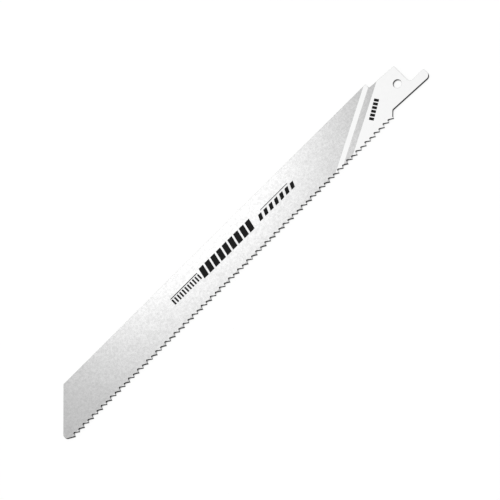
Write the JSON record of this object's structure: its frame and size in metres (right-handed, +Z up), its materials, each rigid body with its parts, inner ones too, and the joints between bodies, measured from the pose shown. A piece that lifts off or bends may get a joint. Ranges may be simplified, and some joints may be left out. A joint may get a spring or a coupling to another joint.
{
  "type": "reciprocating saw blade",
  "caption": "Flat steel saw blade with alternately set teeth, a slanted nose with a rounded point, and a stepped tang with a pin hole and a prong.",
  "frame": {"origin": "middle of the blade's box in X and Y, at the height of its lowest set tooth tips", "axes": "+X along the blade from the nose to the tang, -Y towards the tooth tips, +Z up out of the printed side; the blade lies flat"},
  "size_m": [0.225, 0.0208, 0.0021],
  "materials": {
    "steel": "fine blasted satin steel with a soft grain, cut edges darker",
    "white_coat": "thin even white coat on the tang's printed side and in a slanted stripe beside it",
    "black_ink": "thin matt black screen print, plain bars and blocks"
  },
  "bodies": {
    "root": {"blade": "steel"}
  },
  "joints": []
}
